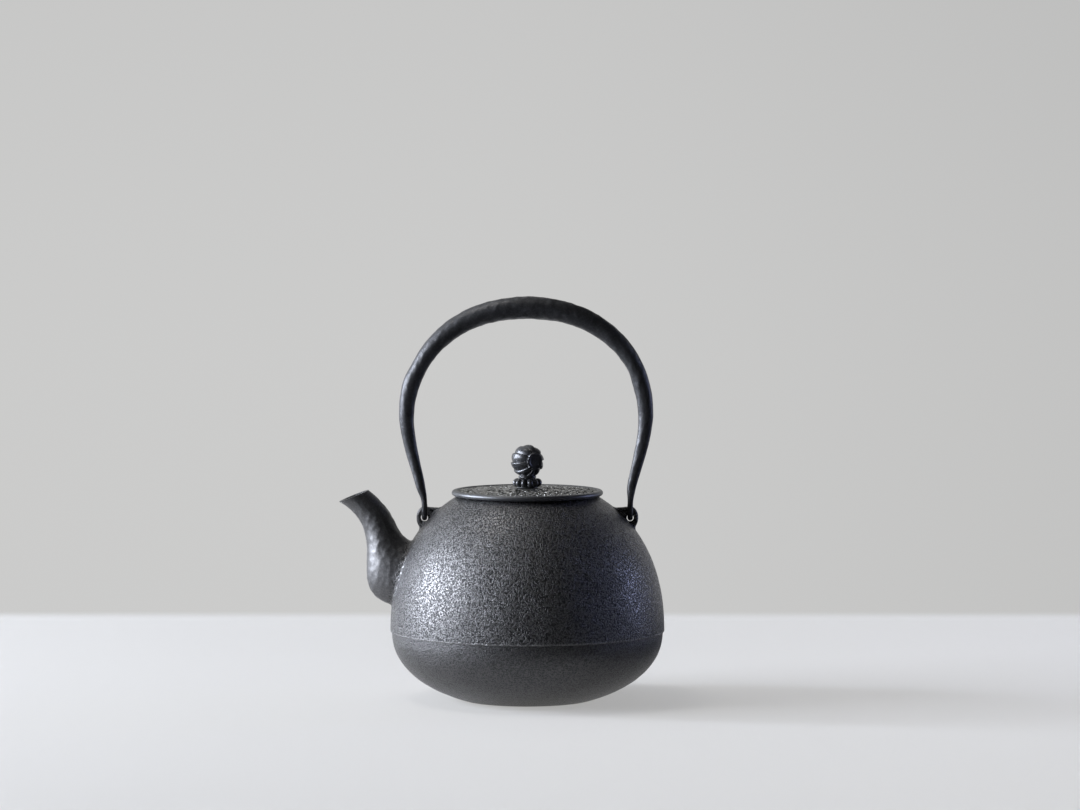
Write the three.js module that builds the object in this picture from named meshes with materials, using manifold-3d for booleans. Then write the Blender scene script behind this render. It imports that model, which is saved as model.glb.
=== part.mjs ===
// Cast iron kettle with a bail handle, a lift-off lid and a turning knob.
// Millimetres, +Z up. The origin is the middle of the flat base, the spout points along -X
// and the handle stands in the XZ plane.

import * as THREE from 'three';
import { mergeVertices } from 'three/addons/utils/BufferGeometryUtils.js';
import Module from 'manifold-3d';

const wasm = await Module();
wasm.setup();

// Shell of the body
const bodyRadius = 82.5;
const bodyWall = 3;
const baseRadius = 39;
const ledgeHeight = 41;
const ledgeStep = 0.9;
const ledgeRise = 0.6;
const mouthHeight = 122.5;
const mouthRadius = 38.8;
const lipWidth = 3;
const collarDepth = 5;
const bowlRoundness = 2.15;
const shoulderRoundness = 2.2;

// Spout, drawn in the XZ plane as [out from the widest radius, up from the ledge]
const spoutBack = [[-11.6, 54.8], [-1.1, 61.2], [-5.9, 70.6], [13.1, 85]];
const spoutFront = [[-0.2, 15.7], [31, 26.3], [-3.3, 57.4], [30.8, 78]];
const spoutRootWidth = 35;
const spoutTipWidth = 17.5;
const spoutFlare = 1.6;
const spoutWall = 2.5;
const spoutBury = 9;

// Lugs that carry the handle
const lugDrop = 13.2;
const lugThickness = 3.8;
const lugTopRim = 4.75;
const lugSideRim = 2.75;
const lugEdge = 0.8;
const lugRoot = 12;
const lugFoot = 8.5;
const lugLean = 3.2;
const lugTuck = 36;

// Handle
const gripHeight = 13.5;
const gripDepth = 16;
const handleWall = 1.7;
const seamWidth = 0.6;
const hookRod = 3.4;
const hookTipRise = 4;
const hookTipRounding = [[0, 0.45], [0.6, 0.85], [1.6, 1]];
const handleBulge = 10.1;
const bulgeRise = 57.2;
const handleRise = 121.9;
const handleTaper = 1.35;
const legStraight = 4;
const legBend = 12;
const legSweep = 19.4;
const sideSweep = 30.8;
const topSweep = 48.7;
const legCentring = 36;

// Lid
const lidOverhang = 3.7;
const lidEdge = 3.2;
const lidPlate = 2.6;
const lidCrown = 1.7;
const lidCrownRoundness = 1.6;
const lidRimWidth = 3.6;
const lidRecess = 0.5;
const lidLand = 10;
const skirtDepth = 8;
const skirtWall = 2.2;

// Knob, its petalled seat and the washer under the lid
const knobRadius = 10;
const fluteCount = 10;
const fluteStep = 1.15;
const fluteRunIn = 6;
const discRadius = 4.7;
const discRecess = 0.35;
const poleRise = 3;
const poleYaw = 31;
const neckRadius = 5.4;
const neckHeight = 1.6;
const neckTaper = 0.5;
const stemRadius = 2.3;
const headRadius = 3.6;
const headHeight = 1.2;
const headChamfer = 0.8;
const petalCount = 12;
const seatRadius = 9;
const seatHeight = 5.5;
const petalBulge = 1.1;
const petalFullness = 0.6;
const seatEdge = 1.3;
const washerRadius = 6.5;
const washerThickness = 1.2;

// Clearances
const restGap = 0.3;
const stemPlay = 0.35;
const lidPlay = 0.8;
const hookPlay = 0.35;
const holePlay = 0.55;
const shoulderPlay = 1.25;

// Fineness of the round surfaces
const bodySides = 56;
const lidSides = 48;
const smallSides = 24;
const handleSides = 12;
const hookSteps = 8;
const legSteps = 10;
const archSteps = 11;

// How far cutters run past what they cut, and the shortest step left in a trimmed profile
const overcut = 2;
const trimStep = 0.5;

// What follows from the sizes above
const ledgeTop = ledgeHeight + ledgeRise;
const lipRadius = mouthRadius + lipWidth;
const rodRadius = hookRod / 2;
const lugHoleRadius = rodRadius + holePlay;
const lugHoleHeight = mouthHeight - lugDrop;
const lugHoleX = shellRadius(lugHoleHeight) + rodRadius + shoulderPlay;
const rimReach = Math.hypot(lugThickness / 2 - lugEdge, lugTopRim / 2 - lugEdge) + lugEdge;
const hookRadius = rimReach + hookPlay + rodRadius;
const pivotHeight = lugHoleHeight + lugHoleRadius + lugTopRim / 2;
const lidBottom = mouthHeight + restGap;
const lidRadius = lipRadius + lidOverhang;
const lidFieldEdge = lidBottom + lidEdge - lidRecess;
const lidLandHeight = lidFieldEdge + lidCrown;
const seatBottom = lidLandHeight + restGap;
const neckBottom = seatBottom + seatHeight + restGap;
const knobCentre = neckBottom + neckHeight + Math.sqrt(knobRadius ** 2 - neckRadius ** 2);
const washerTop = lidLandHeight - lidPlate - restGap;
const washerBottom = washerTop - washerThickness;
const headTop = washerBottom - restGap;
const stemHoleRadius = stemRadius + stemPlay;

// Half-depth of a rounded dome that narrows from wide to narrow over a height.
function domeDepth(wide, narrow, height, roundness) {
  return height / (1 - (narrow / wide) ** roundness) ** (1 / roundness);
}

// Outside radius of the shell above the ledge.
function shellRadius(height) {
  const depth = domeDepth(bodyRadius, lipRadius, mouthHeight - ledgeTop, shoulderRoundness);
  const share = (height - ledgeTop) / depth;
  return bodyRadius * (1 - share ** shoulderRoundness) ** (1 / shoulderRoundness);
}

// Points [radius, rise] of such a dome, from its widest ring to its narrow end.
function domeArc(wide, narrow, height, roundness, steps) {
  const depth = domeDepth(wide, narrow, height, roundness);
  const end = Math.asin((height / depth) ** (roundness / 2));
  const arc = [];
  for (let i = 0; i <= steps; i += 1) {
    const angle = (end * i) / steps;
    const radius = wide * Math.cos(angle) ** (2 / roundness);
    arc.push([radius, depth * Math.sin(angle) ** (2 / roundness)]);
  }
  return arc;
}

// Moves each point of an open profile to its left by the wall at that point.
function inset(profile, wallAt) {
  return profile.map(([radius, height], i) => {
    const before = profile[Math.max(i - 1, 0)];
    const after = profile[Math.min(i + 1, profile.length - 1)];
    const along = new THREE.Vector2(after[0] - before[0], after[1] - before[1]).normalize();
    const wall = wallAt(height);
    return [radius - along.y * wall, height + along.x * wall];
  });
}

// Turns a closed geometry into a solid that can be joined and cut.
function solidOf(geometry) {
  geometry.deleteAttribute('normal');
  geometry.deleteAttribute('uv');
  const merged = mergeVertices(geometry, 1e-4);
  const index = merged.index.array;
  const corners = [];
  for (let i = 0; i < index.length; i += 3) {
    const [a, b, c] = index.slice(i, i + 3);
    if (a !== b && b !== c && c !== a) corners.push(a, b, c);
  }
  const vertProperties = new Float32Array(merged.attributes.position.array);
  const triVerts = new Uint32Array(corners);
  return new wasm.Manifold(new wasm.Mesh({ numProp: 3, vertProperties, triVerts }));
}

function geometryOf(solid) {
  const { vertProperties, triVerts } = solid.getMesh();
  const geometry = new THREE.BufferGeometry();
  geometry.setAttribute('position', new THREE.BufferAttribute(vertProperties, 3));
  geometry.setIndex(new THREE.BufferAttribute(triVerts, 1));
  geometry.computeVertexNormals();
  return geometry;
}

// Revolves [radius, height] points round the Z axis.
function revolve(profile, sides) {
  const points = profile.map(([radius, height]) => new THREE.Vector2(radius, height));
  return solidOf(new THREE.LatheGeometry(points, sides).rotateX(Math.PI / 2));
}

// Skins a row of rings, each with the same number of points, and closes both ends.
function loft(rings) {
  const sides = rings[0].length;
  const positions = rings.flat().flatMap((point) => point.toArray());
  const index = [];
  for (let ring = 0; ring < rings.length - 1; ring += 1) {
    for (let side = 0; side < sides; side += 1) {
      const next = (side + 1) % sides;
      const a = ring * sides + side;
      const b = ring * sides + next;
      index.push(a, b, b + sides, a, b + sides, a + sides);
    }
  }
  for (const [ring, turn] of [[0, 1], [rings.length - 1, -1]]) {
    const middle = positions.length / 3;
    const sum = rings[ring].reduce((total, point) => total.add(point), new THREE.Vector3());
    positions.push(...sum.divideScalar(sides).toArray());
    for (let side = 0; side < sides; side += 1) {
      const a = ring * sides + side;
      const b = ring * sides + ((side + 1) % sides);
      index.push(middle, ...(turn > 0 ? [b, a] : [a, b]));
    }
  }
  const geometry = new THREE.BufferGeometry();
  geometry.setAttribute('position', new THREE.Float32BufferAttribute(positions, 3));
  geometry.setIndex(index);
  return solidOf(geometry);
}

// Ring of an oval round a centre, with its two half axes as vectors.
function oval(centre, halfA, halfB, sides) {
  const ring = [];
  for (let i = 0; i < sides; i += 1) {
    const angle = (2 * Math.PI * i) / sides;
    const point = centre.clone().addScaledVector(halfA, Math.cos(angle));
    ring.push(point.addScaledVector(halfB, Math.sin(angle)));
  }
  return ring;
}

// Body: one casting of shell, spout and lugs

function shellOutline(bowlSteps, domeSteps) {
  const bowlRadius = bodyRadius - ledgeStep;
  const domeHeight = mouthHeight - ledgeTop;
  const bowl = domeArc(bowlRadius, baseRadius, ledgeHeight, bowlRoundness, bowlSteps);
  const dome = domeArc(bodyRadius, lipRadius, domeHeight, shoulderRoundness, domeSteps);
  const lower = bowl.reverse().map(([radius, drop]) => [radius, ledgeHeight - drop]);
  const upper = dome.map(([radius, rise]) => [radius, ledgeTop + rise]);
  return { lower, upper };
}

function makeCavity() {
  const { lower, upper } = shellOutline(7, 10);
  const collarBottom = mouthHeight - collarDepth;
  const domeHeight = mouthHeight - ledgeTop;
  const bowl = inset(lower, () => bodyWall);
  const dome = inset(upper, (height) => {
    return bodyWall + (ledgeStep * (mouthHeight - height)) / domeHeight;
  });
  const profile = [[0, bodyWall], [bowl[0][0], bodyWall]];
  profile.push(...bowl.filter(([, height]) => height > bodyWall + trimStep));
  profile.push(...dome.filter(([, height]) => height < collarBottom - trimStep).slice(1));
  profile.push([mouthRadius, collarBottom]);
  profile.push([mouthRadius, mouthHeight + overcut], [0, mouthHeight + overcut]);
  return revolve(profile, bodySides);
}

function makeShell() {
  const { lower, upper } = shellOutline(10, 14);
  return revolve([[0, 0], ...lower, ...upper, [0, mouthHeight]], bodySides);
}

// Back and front edge of the spout at a share of its length, as points in the XZ plane.
function spoutEdges(share) {
  const place = ([out, up]) => new THREE.Vector3(-bodyRadius - out, 0, ledgeHeight + up);
  return [spoutBack, spoutFront].map((corners) => {
    const curve = new THREE.CubicBezierCurve3(...corners.map(place));
    const point = curve.getPoint(THREE.MathUtils.clamp(share, 0, 1));
    const beyond = share < 0 ? share : Math.max(share - 1, 0);
    const end = share < 0 ? 0 : 1;
    return point.addScaledVector(curve.getTangent(end), beyond);
  });
}

// Solid along the spout, thinner than its outside by a margin all round. Before its root
// and past its tip it runs on straight, by lengths in millimetres.
function makeSpout(margin, before, past, steps, sides) {
  const shares = [-before];
  for (let i = 0; i <= steps; i += 1) shares.push(i / steps);
  if (past > 0) shares.push(1 + past);
  const rings = shares.map((share) => {
    const [back, front] = spoutEdges(share);
    const centre = back.clone().add(front).multiplyScalar(0.5);
    const halfTall = back.clone().sub(centre);
    halfTall.setLength(halfTall.length() - margin);
    const flare = (1 - THREE.MathUtils.clamp(share, 0, 1)) ** spoutFlare;
    const width = spoutTipWidth + (spoutRootWidth - spoutTipWidth) * flare;
    return oval(centre, halfTall, new THREE.Vector3(0, width / 2 - margin, 0), sides);
  });
  return loft(rings);
}

// One lug, a rounded ear with an eye, standing on the shoulder at +X.
function makeLug() {
  const ear = new THREE.Shape();
  const radiusX = lugHoleRadius + lugSideRim;
  const radiusZ = lugHoleRadius + lugTopRim;
  ear.moveTo(lugHoleX - lugRoot, lugHoleHeight + radiusZ);
  ear.lineTo(lugHoleX - lugRoot, lugHoleHeight - lugFoot);
  ear.lineTo(lugHoleX + radiusX - lugLean, lugHoleHeight - lugFoot);
  const tuck = THREE.MathUtils.degToRad(-lugTuck);
  ear.absellipse(lugHoleX, lugHoleHeight, radiusX, radiusZ, tuck, Math.PI / 2, false, 0);
  const eye = new THREE.Path();
  eye.absarc(lugHoleX, lugHoleHeight, lugHoleRadius, 0, 2 * Math.PI, true);
  ear.holes.push(eye);
  const plate = new THREE.ExtrudeGeometry(ear, {
    depth: lugThickness - 2 * lugEdge,
    bevelThickness: lugEdge,
    bevelSize: lugEdge,
    bevelOffset: -lugEdge,
    bevelSegments: 2,
    curveSegments: 7,
  });
  plate.translate(0, 0, lugEdge - lugThickness / 2).rotateX(Math.PI / 2);
  return solidOf(plate);
}

function makeBody() {
  const lug = makeLug();
  const outside = makeShell()
    .add(makeSpout(0, spoutBury, 0, 18, 24))
    .add(lug)
    .add(lug.mirror([1, 0, 0]));
  const passage = makeSpout(spoutWall, spoutBury + overcut, overcut, 14, 16);
  return geometryOf(outside.subtract(makeCavity()).subtract(passage));
}

// Handle: a sheet rolled hollow, with a seam under it and solid hooked ends

// Stations from the tip of the right hook up to the top, each with a centre, the way out
// of the arch there, and how far along the taper it lies.
function rightStations() {
  const stations = [];
  const right = new THREE.Vector3(1, 0, 0);
  const addHook = (y, rise, rodShare) => {
    const centre = new THREE.Vector3(lugHoleX, y, pivotHeight + rise);
    stations.push({ centre, out: right, rodShare, along: 0 });
  };
  for (const [fromEnd, rodShare] of hookTipRounding) {
    addHook(hookRadius, hookTipRise - fromEnd, rodShare);
  }
  for (let i = 0; i <= hookSteps; i += 1) {
    const angle = (Math.PI * i) / hookSteps;
    addHook(hookRadius * Math.cos(angle), -hookRadius * Math.sin(angle), 1);
  }
  const legFoot = pivotHeight + legStraight;
  const sideX = lugHoleX + handleBulge;
  const sideHeight = pivotHeight + bulgeRise;
  const topHeight = pivotHeight + handleRise;
  const leg = new THREE.CubicBezierCurve3(
    new THREE.Vector3(lugHoleX, 0, legFoot),
    new THREE.Vector3(lugHoleX, 0, legFoot + legBend),
    new THREE.Vector3(sideX, 0, sideHeight - legSweep),
    new THREE.Vector3(sideX, 0, sideHeight),
  );
  const arch = new THREE.CubicBezierCurve3(
    new THREE.Vector3(sideX, 0, sideHeight),
    new THREE.Vector3(sideX, 0, sideHeight + sideSweep),
    new THREE.Vector3(topSweep, 0, topHeight),
    new THREE.Vector3(0, 0, topHeight),
  );
  const legLength = leg.getLength();
  const length = legLength + arch.getLength();
  const follow = (curve, from, start, steps) => {
    for (let i = from; i <= steps; i += 1) {
      const centre = curve.getPointAt(i / steps);
      const tangent = curve.getTangentAt(i / steps);
      const rise = THREE.MathUtils.clamp((centre.z - legFoot) / legCentring, 0, 1);
      centre.y = -hookRadius * (1 - THREE.MathUtils.smootherstep(rise, 0, 1));
      const out = new THREE.Vector3(tangent.z, 0, -tangent.x);
      const along = (start + (curve.getLength() * i) / steps) / length;
      stations.push({ centre, out, rodShare: 1, along });
    }
  };
  follow(leg, 0, 0, legSteps);
  follow(arch, 1, legLength, archSteps);
  return stations;
}

function handleStations() {
  const half = rightStations();
  const flip = new THREE.Vector3(-1, 1, 1);
  const left = half.slice(0, -1).reverse().map((station) => ({
    ...station,
    centre: station.centre.clone().multiply(flip),
    out: station.out.clone().multiply(flip),
  }));
  const stations = [...half, ...left];
  return stations.map((station, i) => {
    const before = stations[Math.max(i - 1, 0)].centre;
    const after = stations[Math.min(i + 1, stations.length - 1)].centre;
    const tangent = after.clone().sub(before).normalize();
    const out = station.out.clone().addScaledVector(tangent, -station.out.dot(tangent));
    out.normalize();
    const across = new THREE.Vector3().crossVectors(tangent, out);
    const taper = 1 - Math.max(1 - station.along, 0) ** handleTaper;
    const height = station.rodShare * (hookRod + (gripHeight - hookRod) * taper);
    const depth = station.rodShare * (hookRod + (gripDepth - hookRod) * taper);
    return { centre: station.centre, out, across, height, depth };
  });
}

function handleRing({ centre, out, across, height, depth }, margin, sides) {
  const halfHeight = out.clone().multiplyScalar(height / 2 - margin);
  const halfDepth = across.clone().multiplyScalar(depth / 2 - margin);
  return oval(centre, halfHeight, halfDepth, sides);
}

// Thin blade from the middle of the hollow out through the underside.
function seamRing({ centre, out, across, height }) {
  const half = seamWidth / 2;
  const inner = centre.clone();
  const outer = centre.clone().addScaledVector(out, -height / 2 - overcut);
  return [
    inner.clone().addScaledVector(across, half),
    outer.clone().addScaledVector(across, half),
    outer.clone().addScaledVector(across, -half),
    inner.clone().addScaledVector(across, -half),
  ];
}

function makeHandle() {
  const stations = handleStations();
  const outside = loft(stations.map((station) => handleRing(station, 0, handleSides)));
  const solidBelow = 4 * handleWall + seamWidth;
  const hollowed = stations.filter(({ height }) => height > solidBelow);
  const hollow = loft(hollowed.map((station) => handleRing(station, handleWall, 8)));
  const seam = loft(hollowed.slice(1, -1).map(seamRing));
  return geometryOf(outside.subtract(hollow).subtract(seam));
}

// Lid: a domed plate with a beaded rim and a skirt that drops into the mouth

function makeLid() {
  const edgeMiddle = lidBottom + lidEdge / 2;
  const bead = lidEdge / 2;
  const profile = [[stemHoleRadius, lidLandHeight], [lidLand, lidLandHeight]];
  const fieldRadius = lidRadius - lidRimWidth;
  for (let i = 1; i <= 4; i += 1) {
    const share = i / 4;
    const radius = lidLand + (fieldRadius - lidLand) * share;
    profile.push([radius, lidLandHeight - lidCrown * share ** lidCrownRoundness]);
  }
  profile.push([fieldRadius + lidRecess, lidBottom + lidEdge]);
  for (let i = 0; i <= 6; i += 1) {
    const angle = Math.PI * (0.5 - i / 6);
    const radius = lidRadius - bead + bead * Math.cos(angle);
    profile.push([radius, edgeMiddle + bead * Math.sin(angle)]);
  }
  const skirtRadius = mouthRadius - lidPlay;
  const skirtBottom = lidBottom - skirtDepth;
  const skirtInside = skirtRadius - skirtWall;
  profile.push([skirtRadius, lidBottom], [skirtRadius, skirtBottom]);
  profile.push([skirtInside, skirtBottom]);
  profile.push([skirtInside, lidFieldEdge - lidPlate], [lidLand, lidLandHeight - lidPlate]);
  profile.push([stemHoleRadius, lidLandHeight - lidPlate]);
  profile.push(profile[0]);
  return geometryOf(revolve(profile.reverse(), lidSides));
}

// Knob: a fluted ball on a neck, with a stem riveted over under the washer

function makeBall() {
  const stepsPerFlute = 4;
  const rings = 14;
  const sides = fluteCount * stepsPerFlute;
  const ball = new THREE.SphereGeometry(knobRadius, sides, rings);
  const discHeight = Math.sqrt(knobRadius ** 2 - discRadius ** 2);
  const position = ball.attributes.position;
  for (let i = 0; i < position.count; i += 1) {
    const point = new THREE.Vector3().fromBufferAttribute(position, i);
    const fromPole = Math.hypot(point.x, point.z);
    const turn = Math.atan2(point.z, point.x) / (2 * Math.PI) + 1;
    const fluteShare = Math.round(turn * sides) % stepsPerFlute / stepsPerFlute;
    const depth = fluteStep * Math.min(fromPole / fluteRunIn, 1);
    point.setLength(knobRadius - depth * fluteShare);
    if (Math.abs(point.y) > discHeight) point.y = Math.sign(point.y) * (discHeight - discRecess);
    position.setXYZ(i, point.x, point.y, point.z);
  }
  ball.rotateX(THREE.MathUtils.degToRad(-poleRise));
  ball.rotateZ(THREE.MathUtils.degToRad(poleYaw)).translate(0, 0, knobCentre);
  return solidOf(ball);
}

function makeKnob() {
  const neckTop = knobCentre - knobRadius / 2;
  const shaft = revolve([
    [0, headTop - headHeight],
    [headRadius - headChamfer, headTop - headHeight],
    [headRadius, headTop - headHeight + headChamfer],
    [headRadius, headTop],
    [stemRadius, headTop],
    [stemRadius, neckBottom],
    [neckRadius, neckBottom],
    [neckRadius, neckBottom + neckHeight],
    [neckRadius - neckTaper, neckTop],
    [0, neckTop],
  ], smallSides);
  return geometryOf(makeBall().add(shaft));
}

function makeSeat() {
  const outline = new THREE.Shape();
  const hub = seatRadius - petalBulge;
  const steps = 4;
  for (let i = 0; i < petalCount * steps; i += 1) {
    const angle = (2 * Math.PI * i) / (petalCount * steps);
    const swell = Math.abs(Math.sin((petalCount * angle) / 2)) ** petalFullness;
    const radius = hub + petalBulge * swell;
    outline[i ? 'lineTo' : 'moveTo'](radius * Math.cos(angle), radius * Math.sin(angle));
  }
  const eye = new THREE.Path();
  eye.absarc(0, 0, stemHoleRadius, 0, 2 * Math.PI, true);
  outline.holes.push(eye);
  const seat = new THREE.ExtrudeGeometry(outline, {
    depth: seatHeight - 2 * seatEdge,
    bevelThickness: seatEdge,
    bevelSize: seatEdge,
    bevelOffset: -seatEdge,
    bevelSegments: 3,
    curveSegments: 7,
  });
  seat.translate(0, 0, seatBottom + seatEdge);
  return geometryOf(solidOf(seat));
}

function makeWasher() {
  return geometryOf(revolve([
    [stemHoleRadius, washerBottom],
    [washerRadius, washerBottom],
    [washerRadius, washerTop],
    [stemHoleRadius, washerTop],
    [stemHoleRadius, washerBottom],
  ], smallSides));
}

// Finishes
const castIron = new THREE.MeshStandardMaterial({ color: 0x2c2e31, roughness: 0.55, metalness: 0.6 });
const lidIron = new THREE.MeshStandardMaterial({ color: 0x34363a, roughness: 0.5, metalness: 0.6 });
const handleIron = new THREE.MeshStandardMaterial({ color: 0x26282b, roughness: 0.5, metalness: 0.7 });
const knobIron = new THREE.MeshStandardMaterial({ color: 0x1f2022, roughness: 0.4, metalness: 0.7 });
const washerIron = new THREE.MeshStandardMaterial({ color: 0x4a4643, roughness: 0.5, metalness: 0.8 });

function piece(name, geometry, material) {
  const mesh = new THREE.Mesh(geometry, material);
  mesh.name = name;
  return mesh;
}

const kettle = new THREE.Group();
kettle.add(
  piece('kettle_body', makeBody(), castIron),
  piece('handle', makeHandle(), handleIron),
  piece('lid', makeLid(), lidIron),
  piece('lid_knob', makeKnob(), knobIron),
  piece('knob_seat', makeSeat(), knobIron),
  piece('knob_washer', makeWasher(), washerIron),
);

export default kettle;
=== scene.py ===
import math

import bmesh
import bpy
from mathutils import Matrix, Vector, kdtree, noise


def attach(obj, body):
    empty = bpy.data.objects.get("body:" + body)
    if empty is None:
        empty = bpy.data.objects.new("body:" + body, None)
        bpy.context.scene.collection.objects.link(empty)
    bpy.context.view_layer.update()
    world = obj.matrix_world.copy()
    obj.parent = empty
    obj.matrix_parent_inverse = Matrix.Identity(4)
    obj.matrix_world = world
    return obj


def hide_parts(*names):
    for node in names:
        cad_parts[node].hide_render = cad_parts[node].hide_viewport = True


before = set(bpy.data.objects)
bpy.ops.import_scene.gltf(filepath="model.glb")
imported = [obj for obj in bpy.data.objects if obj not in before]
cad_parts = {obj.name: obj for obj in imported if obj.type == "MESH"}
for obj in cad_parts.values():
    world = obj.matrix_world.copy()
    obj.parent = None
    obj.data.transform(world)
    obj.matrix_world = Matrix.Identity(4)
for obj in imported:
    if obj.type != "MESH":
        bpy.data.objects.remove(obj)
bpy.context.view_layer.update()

MM = 0.001
ORIGIN = (0, 0, 0)
UP = Vector((0, 0, 1))

# Sizes of the kettle, the same as in the part's source
BODY_RADIUS = 82.5 * MM
BODY_WALL = 3 * MM
BASE_RADIUS = 39 * MM
LEDGE_HEIGHT = 41 * MM
LEDGE_STEP = 0.9 * MM
LEDGE_RISE = 0.6 * MM
MOUTH_HEIGHT = 122.5 * MM
MOUTH_RADIUS = 38.8 * MM
LIP_WIDTH = 3 * MM
COLLAR_DEPTH = 5 * MM
BOWL_ROUNDNESS = 2.15
SHOULDER_ROUNDNESS = 2.2
SPOUT_BACK = [(-11.6, 54.8), (-1.1, 61.2), (-5.9, 70.6), (13.1, 85)]
SPOUT_FRONT = [(-0.2, 15.7), (31, 26.3), (-3.3, 57.4), (30.8, 78)]
SPOUT_ROOT_WIDTH = 35 * MM
SPOUT_TIP_WIDTH = 17.5 * MM
SPOUT_FLARE = 1.6
SPOUT_WALL = 2.5 * MM
SPOUT_BURY = 9 * MM
LUG_DROP = 13.2 * MM
LUG_THICKNESS = 3.8 * MM
LUG_TOP_RIM = 4.75 * MM
LUG_SIDE_RIM = 2.75 * MM
LUG_EDGE = 0.8 * MM
LUG_ROOT = 12 * MM
LUG_FOOT = 8.5 * MM
LUG_LEAN = 3.2 * MM
LUG_TUCK = math.radians(36)
GRIP_HEIGHT = 13.5 * MM
GRIP_DEPTH = 16 * MM
HANDLE_WALL = 1.7 * MM
SEAM_WIDTH = 0.6 * MM
HOOK_ROD = 3.4 * MM
HOOK_TIP_RISE = 4 * MM
HANDLE_BULGE = 10.1 * MM
BULGE_RISE = 57.2 * MM
HANDLE_RISE = 121.9 * MM
HANDLE_TAPER = 1.35
LEG_STRAIGHT = 4 * MM
LEG_BEND = 12 * MM
LEG_SWEEP = 19.4 * MM
SIDE_SWEEP = 30.8 * MM
TOP_SWEEP = 48.7 * MM
LEG_CENTRING = 36 * MM
LID_OVERHANG = 3.7 * MM
LID_EDGE = 3.2 * MM
LID_PLATE = 2.6 * MM
LID_CROWN = 1.7 * MM
LID_CROWN_ROUNDNESS = 1.6
LID_RIM_WIDTH = 3.6 * MM
LID_RECESS = 0.5 * MM
LID_LAND = 10 * MM
SKIRT_DEPTH = 8 * MM
SKIRT_WALL = 2.2 * MM
KNOB_RADIUS = 10 * MM
FLUTES = 10
FLUTE_STEP = 1.15 * MM
FLUTE_RUN_IN = 6 * MM
DISC_RADIUS = 4.7 * MM
POLE_RISE = math.radians(3)
POLE_YAW = math.radians(31)
NECK_RADIUS = 5.4 * MM
NECK_HEIGHT = 1.6 * MM
STEM_RADIUS = 2.3 * MM
HEAD_RADIUS = 3.6 * MM
HEAD_HEIGHT = 1.2 * MM
SEAT_RADIUS = 9 * MM
SEAT_HEIGHT = 5.5 * MM
PETALS = 12
WASHER_RADIUS = 6.5 * MM
WASHER_THICKNESS = 1.2 * MM
REST_GAP = 0.3 * MM
STEM_PLAY = 0.35 * MM
LID_PLAY = 0.8 * MM
HOOK_PLAY = 0.35 * MM
HOLE_PLAY = 0.55 * MM
SHOULDER_PLAY = 1.25 * MM

# Sizes that only the visual model has
LUG_ROUNDING = 1.5 * MM
LUG_ARC = math.radians(100)
LUG_TOP_FALL = 1.4 * MM
EYE_SNUG = 0.25 * MM
HANDLE_SKIN = 0.5 * MM
LEG_SWELL = 1.4 * MM
SWELL_RUN = 86 * MM
SWELL_START = 12 * MM
SWELL_END = 18 * MM
DISC_STAND = 0.25 * MM
DISC_DISH = 0.3 * MM
FLUTE_LEAD = 0.14
FLUTE_HOLLOW = 1.9
LID_RELIEF = 0.6 * MM
CAST_LUMPS = 0.16 * MM
CAST_RIPPLES = 0.07 * MM
SPOUT_DENTS = 0.26 * MM


def clamp(value):
    return min(max(value, 0), 1)


def shell_radius(height):
    """Outside radius of the shell above the ledge."""
    rise = MOUTH_HEIGHT - LEDGE_TOP
    narrowing = 1 - (LIP_RADIUS / BODY_RADIUS) ** SHOULDER_ROUNDNESS
    depth = rise / narrowing ** (1 / SHOULDER_ROUNDNESS)
    share = clamp((height - LEDGE_TOP) / depth)
    return BODY_RADIUS * (1 - share ** SHOULDER_ROUNDNESS) ** (1 / SHOULDER_ROUNDNESS)


# What follows from the sizes above
LEDGE_TOP = LEDGE_HEIGHT + LEDGE_RISE
LIP_RADIUS = MOUTH_RADIUS + LIP_WIDTH
ROD_RADIUS = HOOK_ROD / 2
LUG_HOLE_RADIUS = ROD_RADIUS + HOLE_PLAY
LUG_HOLE_HEIGHT = MOUTH_HEIGHT - LUG_DROP
LUG_HOLE_X = shell_radius(LUG_HOLE_HEIGHT) + ROD_RADIUS + SHOULDER_PLAY
RIM_REACH = math.hypot(LUG_THICKNESS / 2 - LUG_EDGE, LUG_TOP_RIM / 2 - LUG_EDGE) + LUG_EDGE
HOOK_RADIUS = RIM_REACH + HOOK_PLAY + ROD_RADIUS
PIVOT_HEIGHT = LUG_HOLE_HEIGHT + LUG_HOLE_RADIUS + LUG_TOP_RIM / 2
LEG_FOOT = PIVOT_HEIGHT + LEG_STRAIGHT
SWELL_TOP = LEG_FOOT + SWELL_RUN
LID_BOTTOM = MOUTH_HEIGHT + REST_GAP
LID_RADIUS = LIP_RADIUS + LID_OVERHANG
LID_FIELD_RADIUS = LID_RADIUS - LID_RIM_WIDTH
LID_FIELD_EDGE = LID_BOTTOM + LID_EDGE - LID_RECESS
LID_LAND_HEIGHT = LID_FIELD_EDGE + LID_CROWN
SKIRT_RADIUS = MOUTH_RADIUS - LID_PLAY
SEAT_BOTTOM = LID_LAND_HEIGHT + REST_GAP
SEAT_TOP = SEAT_BOTTOM + SEAT_HEIGHT
NECK_BOTTOM = SEAT_TOP + REST_GAP
KNOB_CENTRE = NECK_BOTTOM + NECK_HEIGHT + math.sqrt(KNOB_RADIUS ** 2 - NECK_RADIUS ** 2)
WASHER_TOP = LID_LAND_HEIGHT - LID_PLATE - REST_GAP
WASHER_BOTTOM = WASHER_TOP - WASHER_THICKNESS
HEAD_TOP = WASHER_BOTTOM - REST_GAP
STEM_HOLE_RADIUS = STEM_RADIUS + STEM_PLAY


# Meshes

def linked(name, data):
    made = bpy.data.objects.new(name, data)
    bpy.context.scene.collection.objects.link(made)
    return made


def object_of(name, bm, materials):
    mesh = bpy.data.meshes.new(name)
    bm.to_mesh(mesh)
    bm.free()
    for material in materials:
        mesh.materials.append(material)
    return linked(name, mesh)


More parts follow.
